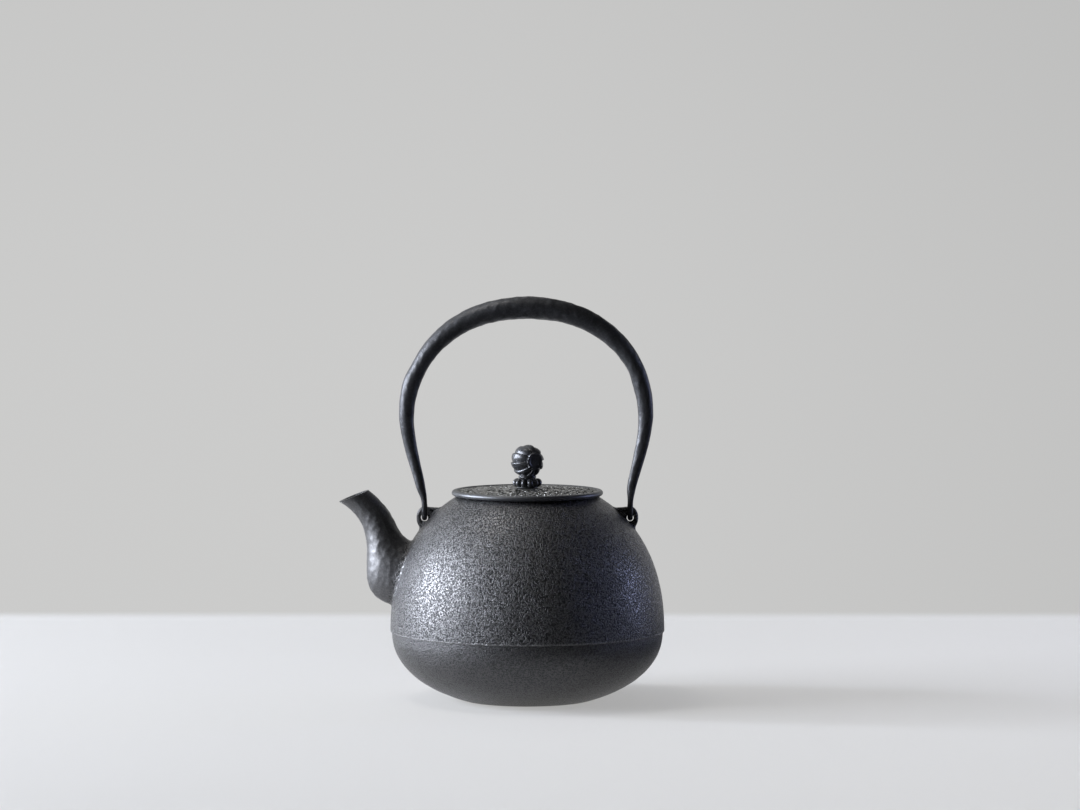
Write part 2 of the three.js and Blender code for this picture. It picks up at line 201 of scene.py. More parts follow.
def finished(name, bm, materials, body, nodes, crease):
    """Makes the piece, sharp where faces meet at more than the crease in degrees."""
    bmesh.ops.recalc_face_normals(bm, faces=bm.faces)
    for face in bm.faces:
        face.smooth = True
    made = object_of(name, bm, materials)
    made.data.set_sharp_from_angle(angle=math.radians(crease))
    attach(made, body)
    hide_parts(*nodes)
    return made


def only(parts, kind):
    return [part for part in parts if isinstance(part, kind)]


def about(radius, height, offsets):
    """[radius, height] points at offsets in mm from one point."""
    return [(radius + out * MM, height + up * MM) for out, up in offsets]


def spun(profile, sides, closed=False):
    """Turns [radius, height] points round the Z axis."""
    bm = bmesh.new()
    corners = [bm.verts.new((radius, 0, height)) for radius, height in profile]
    edges = [bm.edges.new(pair) for pair in zip(corners, corners[1:])]
    if closed:
        edges.append(bm.edges.new((corners[-1], corners[0])))
    bmesh.ops.spin(
        bm, geom=corners + edges, cent=ORIGIN, axis=UP, angle=math.tau, steps=sides, use_merge=True,
    )
    bmesh.ops.remove_doubles(bm, verts=bm.verts, dist=1e-6)
    bmesh.ops.recalc_face_normals(bm, faces=bm.faces)
    return bm


def swept(places, sides):
    """Draws a unit circle through a row of places and closes both ends."""
    bm = bmesh.new()
    bmesh.ops.create_circle(bm, radius=1, segments=sides, matrix=places[0])
    edges = list(bm.edges)
    ends = [edges]
    for before, after in zip(places, places[1:]):
        grown = bmesh.ops.extrude_edge_only(bm, edges=edges)["geom"]
        ring = only(grown, bmesh.types.BMVert)
        bmesh.ops.transform(bm, matrix=after @ before.inverted(), verts=ring)
        inside = set(ring)
        grown_edges = only(grown, bmesh.types.BMEdge)
        edges = [edge for edge in grown_edges if inside.issuperset(edge.verts)]
    ends.append(edges)
    for end in ends:
        bmesh.ops.contextual_create(bm, geom=end)
    bmesh.ops.recalc_face_normals(bm, faces=bm.faces)
    return bm


def lined(bm):
    """Gives all faces the second material, the bare iron inside."""
    for face in bm.faces:
        face.material_index = 1
    return bm


def combined(base, tools, operation):
    """The base joined with, or cut by, all the tools. Faces keep their material index."""
    target = object_of("base", base, [])
    others = []
    for tool in tools:
        other = object_of("tool", tool, [])
        modifier = target.modifiers.new("join", "BOOLEAN")
        modifier.operation = operation
        modifier.solver = "MANIFOLD"
        modifier.object = other
        others.append(other)
    result = bmesh.new()
    result.from_object(target, bpy.context.evaluated_depsgraph_get())
    for used in [target, *others]:
        bpy.data.objects.remove(used)
    bmesh.ops.remove_doubles(result, verts=result.verts, dist=1e-6)
    return result


def place_of(centre, half_a, half_b):
    """The matrix that turns a unit circle into an oval with these half axes."""
    along = half_a.cross(half_b).normalized() * half_a.length
    turned = Matrix((half_a, half_b, along)).transposed()
    return Matrix.Translation(centre) @ turned.to_4x4()


def on_curve(corners, share):
    """The point of a Bezier curve at a share of its run."""
    while len(corners) > 1:
        corners = [a.lerp(b, share) for a, b in zip(corners, corners[1:])]
    return corners[0]


def evenly_along(corners, steps):
    """Points at equal lengths along a Bezier curve of [x, height] corners, and its length."""
    pieces = 600
    curve = [Vector((x, 0, height)) for x, height in corners]
    fine = [on_curve(curve, i / pieces) for i in range(pieces + 1)]
    lengths = [0]
    for a, b in zip(fine, fine[1:]):
        lengths.append(lengths[-1] + (b - a).length)
    points = []
    at = 0
    for step in range(steps + 1):
        wanted = lengths[-1] * step / steps
        while at < pieces - 1 and lengths[at + 1] < wanted:
            at += 1
        span = lengths[at + 1] - lengths[at]
        points.append(fine[at].lerp(fine[at + 1], (wanted - lengths[at]) / span))
    return points, lengths[-1]


def span_at(points, i):
    """From the point before one in a row to the point after it."""
    return points[min(i + 1, len(points) - 1)] - points[max(i - 1, 0)]


def eased(value):
    """Rises from 0 to 1 with soft ends."""
    value = clamp(value)
    return value ** 3 * (value * (value * 6 - 15) + 10)


def dimple(point, cell):
    """Depth, from 0 to 1, of a skin beaten all over with marks of one size."""
    steepness = 1.6
    nearest = noise.voronoi(point / cell)[0][0]
    return clamp(1 - nearest ** 2 * steepness)


def lump(point, cell):
    """Depth, from 0 to 1, of soft lumps of one size."""
    return 0.5 + 0.5 * noise.noise(point / cell)


# Body

def off_shell(point):
    """How far a point lies outside the shell, measured level."""
    return math.hypot(point.x, point.y) - shell_radius(point.z)


def dome_arc(wide, narrow, height, roundness, steps):
    """[radius, rise] points of a rounded dome, from its wide end to its narrow one."""
    depth = height / (1 - (narrow / wide) ** roundness) ** (1 / roundness)
    end = math.asin((height / depth) ** (roundness / 2))
    arc = []
    for step in range(steps + 1):
        angle = end * step / steps
        radius = wide * math.cos(angle) ** (2 / roundness)
        arc.append((radius, depth * math.sin(angle) ** (2 / roundness)))
    return arc


def shell_outline(bowl_steps, dome_steps):
    """[radius, height] points below and above the ledge, both from the bottom up."""
    bowl_wide = BODY_RADIUS - LEDGE_STEP
    bowl = dome_arc(bowl_wide, BASE_RADIUS, LEDGE_HEIGHT, BOWL_ROUNDNESS, bowl_steps)
    dome_height = MOUTH_HEIGHT - LEDGE_TOP
    dome = dome_arc(BODY_RADIUS, LIP_RADIUS, dome_height, SHOULDER_ROUNDNESS, dome_steps)
    lower = [(radius, LEDGE_HEIGHT - drop) for radius, drop in reversed(bowl)]
    upper = [(radius, LEDGE_TOP + rise) for radius, rise in dome]
    return lower, upper


def inset(profile, wall_at):
    """Moves each point of an open profile to its left by the wall at that point."""
    moved = []
    points = [Vector(point) for point in profile]
    for i, (radius, height) in enumerate(profile):
        along = span_at(points, i).normalized()
        wall = wall_at(height)
        moved.append((radius - along.y * wall, height + along.x * wall))
    return moved


def make_shell():
    lower, upper = shell_outline(bowl_steps=42, dome_steps=64)
    rings = 6
    base = [(BASE_RADIUS * ring / rings, 0) for ring in range(rings)]
    ledge = about(BODY_RADIUS, LEDGE_HEIGHT, [(-0.35, 0.08), (-0.1, 0.25)])
    lip = about(LIP_RADIUS, MOUTH_HEIGHT, [(0.1, -0.15), (-0.2, -0.03), (-0.6, 0)])
    return spun(base + lower + ledge + upper[:-1] + lip + [(0, MOUTH_HEIGHT)], sides=288)


def make_cavity():
    lower, upper = shell_outline(bowl_steps=26, dome_steps=38)
    collar_bottom = MOUTH_HEIGHT - COLLAR_DEPTH
    dome_height = MOUTH_HEIGHT - LEDGE_TOP
    bowl = inset(lower, lambda height: BODY_WALL)
    dome = inset(
        upper, lambda height: BODY_WALL + LEDGE_STEP * (MOUTH_HEIGHT - height) / dome_height,
    )
    clear = 0.5 * MM
    rings = 5
    above_mouth = 3
    profile = [(bowl[0][0] * ring / rings, BODY_WALL) for ring in range(rings + 1)]
    profile += [point for point in bowl if point[1] > BODY_WALL + clear]
    profile += [point for point in dome[1:] if point[1] < collar_bottom - clear]
    profile += about(MOUTH_RADIUS, collar_bottom, [(0.6, 0), (0, 0.6)])
    mouth = [(0, -0.7), (0.2, -0.25), (0.7, 0.02), (0.7, above_mouth)]
    profile += about(MOUTH_RADIUS, MOUTH_HEIGHT, mouth)
    profile.append((0, MOUTH_HEIGHT + above_mouth * MM))
    return lined(spun(profile, sides=192))


def spout_place(share, margin):
    """Where the spout's ring lies. Outside 0 to 1 the share counts in millimetres beyond an end."""
    ends = []
    for corners in (SPOUT_BACK, SPOUT_FRONT):
        places = about(BODY_RADIUS, LEDGE_HEIGHT, corners)
        curve = [Vector((-out, 0, up)) for out, up in places]
        point = on_curve(curve, clamp(share))
        if share < 0:
            point += (curve[1] - curve[0]).normalized() * share * MM
        elif share > 1:
            point += (curve[3] - curve[2]).normalized() * (share - 1) * MM
        ends.append(point)
    centre = (ends[0] + ends[1]) / 2
    half_tall = ends[0] - centre
    half_tall.length -= margin
    flare = (1 - clamp(share)) ** SPOUT_FLARE
    width = SPOUT_TIP_WIDTH + (SPOUT_ROOT_WIDTH - SPOUT_TIP_WIDTH) * flare
    return place_of(centre, half_tall, Vector((0, width / 2 - margin, 0)))


SPOUT_FIRST_RING = -4


def make_spout():
    steps = 72
    shares = [-SPOUT_BURY / MM, SPOUT_FIRST_RING] + [step / steps for step in range(steps + 1)]
    return swept([spout_place(share, 0) for share in shares], sides=96)


def make_passage():
    """The way for the water, a little flared at the beak, and past both ends of the spout."""
    steps = 40
    shares = [-SPOUT_BURY / MM - 2, SPOUT_FIRST_RING] + [step / steps for step in range(steps)]
    places = [spout_place(share, SPOUT_WALL) for share in shares]
    for share, flare in ((0.993, 0), (1, 0.35), (1.6, 0.9), (3, 0.9)):
        places.append(spout_place(share, SPOUT_WALL - flare * MM))
    return lined(swept(places, sides=64))


def make_eye():
    """The cutter of a lug's eye, with rounded edges on both faces of the lug."""
    half_length = 3
    flares = [(0.55, -half_length), (0.55, -1.95), (0.24, -1.6), (0.07, -1.25), (0, -0.8)]
    flares += [(flare, -height) for flare, height in reversed(flares)]
    narrow = LUG_HOLE_RADIUS - EYE_SNUG
    profile = [(0, -half_length * MM)]
    profile += [(narrow + flare * MM, height * MM) for flare, height in flares]
    profile.append((0, half_length * MM))
    eye = spun(profile, sides=40)
    turn = Matrix.Rotation(math.pi / 2, 4, "X")
    place = Matrix.Translation((LUG_HOLE_X, 0, LUG_HOLE_HEIGHT))
    bmesh.ops.transform(eye, matrix=place @ turn, verts=eye.verts)
    return eye


def make_lug(side):
    bm = bmesh.new()
    radius_x = LUG_HOLE_RADIUS + LUG_SIDE_RIM
    radius_z = LUG_HOLE_RADIUS + LUG_TOP_RIM
    root = LUG_HOLE_X - LUG_ROOT
    foot = LUG_HOLE_HEIGHT - LUG_FOOT
    outline = [(root, foot), (LUG_HOLE_X + radius_x - LUG_LEAN, foot)]
    steps = 20
    for step in range(steps + 1):
        angle = (LUG_ARC + LUG_TUCK) * step / steps - LUG_TUCK
        outline.append((
            LUG_HOLE_X + radius_x * math.cos(angle),
            LUG_HOLE_HEIGHT + radius_z * math.sin(angle),
        ))
    outline.append((root, LUG_HOLE_HEIGHT + radius_z - LUG_TOP_FALL))
    corners = [bm.verts.new((x, -LUG_THICKNESS / 2, z)) for x, z in outline]
    near = bm.faces.new(corners)
    rim = list(near.edges)
    grown = bmesh.ops.extrude_face_region(bm, geom=[near], use_keep_orig=True)["geom"]
    far = only(grown, bmesh.types.BMVert)
    bmesh.ops.translate(bm, vec=(0, LUG_THICKNESS, 0), verts=far)
    rim += only(grown, bmesh.types.BMEdge)
    bmesh.ops.recalc_face_normals(bm, faces=bm.faces)
    bmesh.ops.bevel(
        bm, geom=rim, offset=LUG_ROUNDING, offset_type="OFFSET", segments=5, profile=0.5,
        affect="EDGES", material=-1, clamp_overlap=True,
    )
    bm = combined(bm, [make_eye()], "DIFFERENCE")
    if side < 0:
        bmesh.ops.transform(bm, matrix=Matrix.Rotation(math.pi, 4, "Z"), verts=bm.verts)
    return bm


JOIN_ANGLE = math.radians(18)
JOIN_NEAR = 6 * MM
JOIN_EDGE = 1.2 * MM
JOIN_MERGE = 0.22 * MM
SPOUT_SIDE_X = -70 * MM
SPOUT_SIDE_TOP = 104 * MM


def soften_joins(bm):
    """Rounds the inside corners where the spout and the lugs grow out of the shell."""
    joins = {}
    for edge in bm.edges:
        if len(edge.link_faces) != 2 or edge.calc_face_angle(0) < JOIN_ANGLE:
            continue
        for vert in edge.verts:
            on_shell = abs(off_shell(vert.co)) < 0.08 * MM
            if on_shell and LEDGE_TOP + 5 * MM < vert.co.z < MOUTH_HEIGHT - 3 * MM:
                joins[vert] = True
    tree = kdtree.KDTree(len(joins))
    for i, vert in enumerate(joins):
        tree.insert(vert.co, i)
    tree.balance()

    def near(reach):
        return [vert for vert in bm.verts if tree.find(vert.co)[2] < reach]

    many_sided = dict.fromkeys(
        face for vert in near(JOIN_NEAR) for face in vert.link_faces if len(face.verts) > 4
    )
    bmesh.ops.triangulate(bm, faces=list(many_sided))
    long_edges = dict.fromkeys(
        edge for vert in near(JOIN_NEAR) for edge in vert.link_edges
        if edge.calc_length() > JOIN_EDGE
    )
    bmesh.ops.subdivide_edges(bm, edges=list(long_edges), cuts=1, use_grid_fill=True)
    bmesh.ops.remove_doubles(bm, verts=near(2 * MM), dist=JOIN_MERGE)
    for reach, rounds in ((1.6, 3), (2.8, 4), (4.2, 5)):
        for _ in range(rounds):
            softened = []
            for vert in bm.verts:
                beside_spout = vert.co.x < SPOUT_SIDE_X and vert.co.z < SPOUT_SIDE_TOP
                scale = 1 if beside_spout else 0.25
                if tree.find(vert.co)[2] < reach * MM * scale:
                    softened.append(vert)
            bmesh.ops.smooth_vert(
                bm, verts=softened, factor=0.5, use_axis_x=True, use_axis_y=True, use_axis_z=True,
            )


def cast_body(bm):
    """Lumps of the casting and dents of the spout. Stores how much of each point is spout."""
    layer = bm.verts.layers.float.new("spout")
    other_lumps = Vector((1, 2, 3))
    bm.normal_update()
    for vert in bm.verts:
        point = vert.co
        on_spout = 0
        if point.x < -60 * MM and point.z > 50 * MM:
            on_spout = eased((off_shell(point) - 0.5 * MM) / (5 * MM))
        vert[layer] = on_spout
        above_base = clamp((point.z - 0.3 * MM) / (4 * MM))
        below_lip = clamp((MOUTH_HEIGHT - 0.6 * MM - point.z) / (3 * MM))
        off_ledge = clamp(abs(point.z - LEDGE_HEIGHT) / (2 * MM))
        skin = CAST_LUMPS * lump(point, 7 * MM) + CAST_RIPPLES * lump(point + other_lumps, 3 * MM)
        beaten = SPOUT_DENTS * dimple(point, 3.6 * MM) + 0.1 * MM * lump(point, 2 * MM)
        depth = skin * (1 - on_spout) * off_ledge + beaten * on_spout
        vert.co -= vert.normal * (depth * (above_base * below_lip))


def make_body(materials):
    bm = combined(make_shell(), [make_spout(), make_lug(1), make_lug(-1)], "UNION")
    soften_joins(bm)
    cast_body(bm)
    bm = combined(bm, [make_cavity(), make_passage()], "DIFFERENCE")
    return finished("body_casting", bm, materials, "kettle", ["kettle_body"], 50)


# Handle

LEG_STEPS = 66
ARCH_STEPS = 104
HOOK_STEPS = 28
# The hook's rounded tip: millimetres from its end, and its share of the rod's width
HOOK_TIP = ((0, 0.3), (0.15, 0.6), (0.5, 0.84), (1.1, 0.97), (1.8, 1), (2.6, 1), (3.3, 1))


def half_handle():
    """Stations from the tip of the right hook to the top: centre, way out, size, taper."""
    right = Vector((1, 0, 0))
    pivot = Vector((LUG_HOLE_X, 0, PIVOT_HEIGHT))
    stations = []
    for from_end, size in HOOK_TIP:
        height = PIVOT_HEIGHT + HOOK_TIP_RISE - from_end * MM
        stations.append((Vector((LUG_HOLE_X, HOOK_RADIUS, height)), right, size, 0))
    for step in range(HOOK_STEPS + 1):
        angle = math.pi * step / HOOK_STEPS
        offset = Vector((0, HOOK_RADIUS * math.cos(angle), -HOOK_RADIUS * math.sin(angle)))
        stations.append((pivot + offset, right, 1, 0))
    side_x = LUG_HOLE_X + HANDLE_BULGE
    side_height = PIVOT_HEIGHT + BULGE_RISE
    top = PIVOT_HEIGHT + HANDLE_RISE
    leg = [
        (LUG_HOLE_X, LEG_FOOT), (LUG_HOLE_X, LEG_FOOT + LEG_BEND),
        (side_x, side_height - LEG_SWEEP), (side_x, side_height),
    ]
    arch = [
        (side_x, side_height), (side_x, side_height + SIDE_SWEEP),
        (TOP_SWEEP, top), (0, top),
    ]
    leg_points, leg_length = evenly_along(leg, LEG_STEPS)
    arch_points, arch_length = evenly_along(arch, ARCH_STEPS)
    length = leg_length + arch_length
    points = leg_points + arch_points[1:]
    runs = [leg_length * i / LEG_STEPS for i in range(LEG_STEPS + 1)]
    runs += [leg_length + arch_length * i / ARCH_STEPS for i in range(1, ARCH_STEPS + 1)]
    for i, (point, run) in enumerate(zip(points, runs)):
        tangent = span_at(points, i)
        out = Vector((tangent.z, 0, -tangent.x)).normalized()
        forward = HOOK_RADIUS * (1 - eased((point.z - LEG_FOOT) / LEG_CENTRING))
        stations.append((Vector((point.x, -forward, point.z)), out, 1, run / length))
    return stations


def handle_stations():
    """Stations from hook to hook: centre, way out, way across, height and depth of the bar."""
    half = half_handle()
    flip = Vector((-1, 1, 1))
    left = [(centre * flip, out * flip, *rest) for centre, out, *rest in reversed(half[:-1])]
    stations = half + left
    centres = [station[0] for station in stations]
    placed = []
    for i, (centre, out, size, run) in enumerate(stations):
        tangent = span_at(centres, i).normalized()
        out = (out - tangent * out.dot(tangent)).normalized()
        across = tangent.cross(out)
        taper = 1 - max(1 - run, 0) ** HANDLE_TAPER
        height = size * (HOOK_ROD + (GRIP_HEIGHT - HOOK_ROD) * taper)
        depth = size * (HOOK_ROD + (GRIP_DEPTH - HOOK_ROD) * taper)
        placed.append((centre, out, across, height, depth))
    return placed


def grip_share(height):
    """0 at the hooks and 1 where the bar has its full height."""
    return clamp((height - HOOK_ROD) / (GRIP_HEIGHT - HOOK_ROD))


def handle_rings(stations):
    """Rings of the outside, thicker inwards for the dents, and the legs thicker on their left."""
    rings = []
    for c, out, across, height, depth in stations:
        proud = HANDLE_SKIN * grip_share(height)
        start = eased((c.z - LEG_FOOT) / SWELL_START)
        end = eased((SWELL_TOP - c.z) / SWELL_END)
        swell = LEG_SWELL * start * end
        left = math.copysign(1, -out.x)
        centre = c + out * (left * swell - proud) / 2
        half_height = out * (height + proud + swell) / 2
        rings.append(place_of(centre, half_height, across * (depth + proud) / 2))
    return rings


def beat_handle(bm, stations):
    """Dents of the hammer, wider and deeper where the bar is thicker."""
    bm.normal_update()
    tree = kdtree.KDTree(len(stations))
    for i, station in enumerate(stations):
        tree.insert(station[0], i)
    tree.balance()
    for vert in bm.verts:
        share = grip_share(stations[tree.find(vert.co)[1]][3])
        beaten = (0.1 + 0.24 * share) * MM * dimple(vert.co, (2.6 + 2.4 * share) * MM)
        vert.co -= vert.normal * (beaten + 0.08 * MM * lump(vert.co, 2.2 * MM))


def make_handle(materials):
    stations = handle_stations()
    bm = swept(handle_rings(stations), sides=56)
    beat_handle(bm, stations)
    solid_below = 4 * HANDLE_WALL + SEAM_WIDTH
    hollowed = [station for station in stations if station[3] > solid_below]
    hollow = [
        place_of(c, out * (height / 2 - HANDLE_WALL), across * (depth / 2 - HANDLE_WALL))
        for c, out, across, height, depth in hollowed[::4]
    ]
    seam = []
    square = Matrix.Rotation(math.pi / 4, 4, "Z") @ Matrix.Scale(math.sqrt(2), 4)
    for c, out, across, height, depth in hollowed[3:-3:2]:
        reach = height / 2 + 2 * MM
        place = place_of(c - out * reach / 2, out * reach / 2, across * SEAM_WIDTH / 2)
        seam.append(place @ square)
    bm = combined(bm, [swept(hollow, sides=24), swept(seam, sides=4)], "DIFFERENCE")
    return finished("bail_handle", bm, materials, "bail", ["handle"], 55)


# Lid, knob, seat and washer

def lid_profile():
    """[radius, height] points over the top, round the beaded rim, and back along the skirt."""
    hole = STEM_HOLE_RADIUS
    field = LID_FIELD_RADIUS
    profile = [(hole, LID_LAND_HEIGHT - 0.25 * MM), (hole + 0.25 * MM, LID_LAND_HEIGHT)]
    land_steps = 5
    for step in range(1, land_steps + 1):
        profile.append((hole + (LID_LAND - hole) * step / land_steps, LID_LAND_HEIGHT))
    crown_steps = 56
    for step in range(1, crown_steps + 1):
        share = step / crown_steps
        height = LID_LAND_HEIGHT - LID_CROWN * share ** LID_CROWN_ROUNDNESS
        profile.append((LID_LAND + (field - 0.2 * MM - LID_LAND) * share, height))
    profile += about(field, LID_FIELD_EDGE, [(0.05, 0.06), (0.25, 0.28), (0.5, 0.44), (1, 0.5)])
    bead = LID_EDGE / 2
    bead_steps = 14
    for step in range(bead_steps + 1):
        angle = math.pi * (0.5 - step / bead_steps)
        radius = LID_RADIUS - bead + bead * math.cos(angle)
        profile.append((radius, LID_BOTTOM + bead + bead * math.sin(angle)))
    inner = SKIRT_RADIUS - SKIRT_WALL
    bottom = LID_BOTTOM - SKIRT_DEPTH
    under_edge = LID_FIELD_EDGE - LID_PLATE
    under_land = LID_LAND_HEIGHT - LID_PLATE
    profile.append((LIP_RADIUS - 0.8 * MM, LID_BOTTOM))
    profile += about(SKIRT_RADIUS, LID_BOTTOM, [(0.4, 0), (0, -0.4), (0, -4)])
    profile += about(SKIRT_RADIUS, bottom, [(0, 0.5), (-0.5, 0)])
    profile += about(inner, bottom, [(0.5, 0), (0, 0.5), (0, 4)])
    profile += about(inner, under_edge, [(0, -0.8), (-0.3, -0.2), (-0.9, 0)])
    under_steps = 7
    for step in range(1, under_steps):
        share = step / under_steps
        radius = inner - 0.9 * MM + (LID_LAND - inner + 0.9 * MM) * share
        profile.append((radius, under_edge + LID_CROWN * share))
    profile += [(LID_LAND, under_land), (hole, under_land)]
    return profile


def make_lid(materials):
    """The lid. Stores how high each point of its cast relief stands."""
    bm = spun(lid_profile(), sides=448, closed=True)
    bm.normal_update()
    layer = bm.verts.layers.float.new("relief")
    plain = 0.6
    for vert in bm.verts:
        radius = math.hypot(vert.co.x, vert.co.y)
        if vert.co.z > LID_FIELD_EDGE - 0.5 * MM and radius < LID_FIELD_RADIUS:
            past_land = clamp((radius - LID_LAND) / (2 * MM))
            within_rim = clamp((LID_FIELD_RADIUS - radius) / (1.2 * MM))
            share = past_land * within_rim
            wrinkle = clamp((lump(vert.co, 1.8 * MM) - 0.42) / 0.16)
            vert[layer] = wrinkle * share + (1 - share) * plain
            depth = 0.12 * MM * lump(vert.co, 5 * MM) + LID_RELIEF * (1 - wrinkle)
            vert.co.z -= depth * share
    return finished("lid_plate", bm, materials, "lid", ["lid"], 60)


def flute_depth(turn):
    """How far the ball drops back across one flute, from its leading edge to the next."""
    share = turn % 1
    if share < FLUTE_LEAD:
        return 1 - math.sin(share / FLUTE_LEAD * math.pi / 2)
    return ((share - FLUTE_LEAD) / (1 - FLUTE_LEAD)) ** FLUTE_HOLLOW


def make_ball():
    """The fluted ball, its poles level, with a raised and dished disc on each."""
    bm = bmesh.new()
    sides = FLUTES * 24
    bmesh.ops.create_uvsphere(bm, u_segments=sides, v_segments=96, radius=KNOB_RADIUS)
    level = Matrix.Rotation(math.pi / 2, 3, "X")
    bmesh.ops.rotate(bm, cent=ORIGIN, matrix=level, verts=bm.verts)
    disc_height = math.sqrt(KNOB_RADIUS ** 2 - DISC_RADIUS ** 2)
    for vert in bm.verts:
        from_pole = math.hypot(vert.co.x, vert.co.z)
        if from_pole < 1e-7:
            vert.co.y = math.copysign(disc_height + DISC_STAND - DISC_DISH, vert.co.y)
            continue
        turn = math.atan2(vert.co.z, vert.co.x) / math.tau * FLUTES
        run_in = eased(from_pole / FLUTE_RUN_IN)
        vert.co.length = KNOB_RADIUS - FLUTE_STEP * run_in * flute_depth(turn)
        from_pole = math.hypot(vert.co.x, vert.co.z)
        if from_pole < DISC_RADIUS + 0.3 * MM:
            dish = DISC_DISH * eased((DISC_RADIUS - 0.9 * MM - from_pole) / (0.7 * MM))
            vert.co.y = math.copysign(disc_height + DISC_STAND - dish, vert.co.y)
    for turned in (Matrix.Rotation(-POLE_RISE, 3, "X"), Matrix.Rotation(POLE_YAW, 3, "Z")):
        bmesh.ops.rotate(bm, cent=ORIGIN, matrix=turned, verts=bm.verts)
    bmesh.ops.translate(bm, vec=(0, 0, KNOB_CENTRE), verts=bm.verts)
    return bm


def make_knob(materials):
    head_bottom = HEAD_TOP - HEAD_HEIGHT
    neck_top = KNOB_CENTRE - 6 * MM
    stem_heights = (HEAD_TOP, LID_LAND_HEIGHT, SEAT_BOTTOM + SEAT_HEIGHT / 2, NECK_BOTTOM)
    neck = [(-0.5, 0), (-0.1, 0.3), (0, 0.7), (-0.2, 1.1), (-0.7, 1.5), (-0.8, 2.2)]
    profile = [(0, head_bottom)]
    profile += about(HEAD_RADIUS, head_bottom, [(-1.2, 0), (-0.5, 0.2)])
    profile += about(HEAD_RADIUS, HEAD_TOP, [(-0.1, -0.6), (0, -0.2), (-0.1, 0)])
    profile += [(STEM_RADIUS, height) for height in stem_heights]
    profile += about(NECK_RADIUS, NECK_BOTTOM, neck)
    profile += [(NECK_RADIUS - 0.6 * MM, neck_top), (0, neck_top)]
    bm = combined(make_ball(), [spun(profile, sides=64)], "UNION")
    return finished("knob_ball", bm, materials, "knob", ["lid_knob"], 45)


PETAL_HALF_LENGTH = 2.9 * MM
PETAL_HALF_HEIGHT = 2.55 * MM
PETAL_OVERLAP = 1.12
PETAL_TURN = 0.43
PETAL_MIDDLE = 2.95 * MM
PETAL_INSET = 2.92 * MM
PETAL_RING_INSET = 2.1 * MM


def make_petal(number):
    ring = SEAT_RADIUS - PETAL_RING_INSET
    half_width = math.sin(math.pi / PETALS) * ring * PETAL_OVERLAP
    size = (PETAL_HALF_LENGTH, half_width, PETAL_HALF_HEIGHT)
    place = (SEAT_RADIUS - PETAL_INSET, 0, SEAT_BOTTOM + PETAL_MIDDLE)
    turn = Matrix.Rotation(math.tau * (number + PETAL_TURN) / PETALS, 3, "Z")
    petal = bmesh.new()
    bmesh.ops.create_uvsphere(petal, u_segments=28, v_segments=18, radius=1)
    bmesh.ops.scale(petal, vec=size, verts=petal.verts)
    bmesh.ops.translate(petal, vec=place, verts=petal.verts)
    bmesh.ops.rotate(petal, cent=ORIGIN, matrix=turn, verts=petal.verts)
    return petal


def make_seat(materials):
    """A ring of rounded petals round a low drum, bored for the stem."""
    petals = [make_petal(number) for number in range(PETALS)]
    side = [(0, 0), (6.2, 0), (6.5, 0.25), (6.5, 1), (6.6, 1.6), (6.6, 4.2), (6, 5.3)]
    drum = about(0, SEAT_BOTTOM, side) + [(5.6 * MM, SEAT_TOP), (0, SEAT_TOP)]
    below = 120 * MM
    above = 140 * MM
    bore = [(0, below), (STEM_HOLE_RADIUS, below), (STEM_HOLE_RADIUS, above), (0, above)]
    bm = combined(spun(drum, sides=72), petals, "UNION")
    bm = combined(bm, [spun(bore, sides=48)], "DIFFERENCE")
    return finished("petal_seat", bm, materials, "lid_stack", ["knob_seat"], 35)


def make_washer(materials):
    edge = 0.3 * MM
    profile = [
        (STEM_HOLE_RADIUS, WASHER_BOTTOM), (WASHER_RADIUS - edge, WASHER_BOTTOM),
        (WASHER_RADIUS, WASHER_BOTTOM + edge), (WASHER_RADIUS, WASHER_TOP - edge),
        (WASHER_RADIUS - edge, WASHER_TOP), (STEM_HOLE_RADIUS, WASHER_TOP),
    ]
    bm = spun(profile, sides=64, closed=True)
    return finished("stem_washer", bm, materials, "lid", ["knob_washer"], 40)


# Shader nodes

def node(tree, kind, inputs=None, **settings):
    made = tree.nodes.new(kind)
    for name, value in settings.items():
        setattr(made, name, value)
    for name, value in (inputs or {}).items():
        socket = made.inputs[name]
        if isinstance(value, bpy.types.NodeSocket):
            tree.links.new(value, socket)
        else:
            socket.default_value = value
    return made


def math_node(tree, operation, a, b=0.0, c=0.0):
    return node(tree, "ShaderNodeMath", {0: a, 1: b, 2: c}, operation=operation).outputs[0]


def times(tree, a, b):
    return math_node(tree, "MULTIPLY", a, b)


def times_plus(tree, a, b, c):
    return math_node(tree, "MULTIPLY_ADD", a, b, c)


def ranged(tree, value, low, high, to_low=0.0, to_high=1.0):
    """Goes smoothly from one value to another while the input goes from low to high."""
    inputs = {
        "Value": value, "From Min": low, "From Max": high, "To Min": to_low, "To Max": to_high,
    }
    made = node(tree, "ShaderNodeMapRange", inputs, interpolation_type="SMOOTHSTEP")
    return made.outputs["Result"]


def mixed(tree, share, a, b):
    """A number between a and b."""
    return node(tree, "ShaderNodeMix", {0: share, 2: a, 3: b}).outputs[0]


def mixed_colour(tree, share, a, b):
    inputs = {0: share, 6: a, 7: b}
    return node(tree, "ShaderNodeMix", inputs, data_type="RGBA", clamp_factor=True).outputs[2]


def mixed_shader(tree, share, a, b):
    return node(tree, "ShaderNodeMixShader", {0: share, 1: a, 2: b}).outputs[0]


def object_place(tree):
    return node(tree, "ShaderNodeTexCoord").outputs["Object"]


def split(tree, place):
    return node(tree, "ShaderNodeSeparateXYZ", {"Vector": place}).outputs


def attribute(tree, name):
    return node(tree, "ShaderNodeAttribute", attribute_name=name).outputs["Fac"]


def distance(tree, x, y):
    """Distance from the middle, measured level."""
    flat = node(tree, "ShaderNodeCombineXYZ", {"X": x, "Y": y}).outputs[0]
    return node(tree, "ShaderNodeVectorMath", {0: flat}, operation="LENGTH").outputs["Value"]


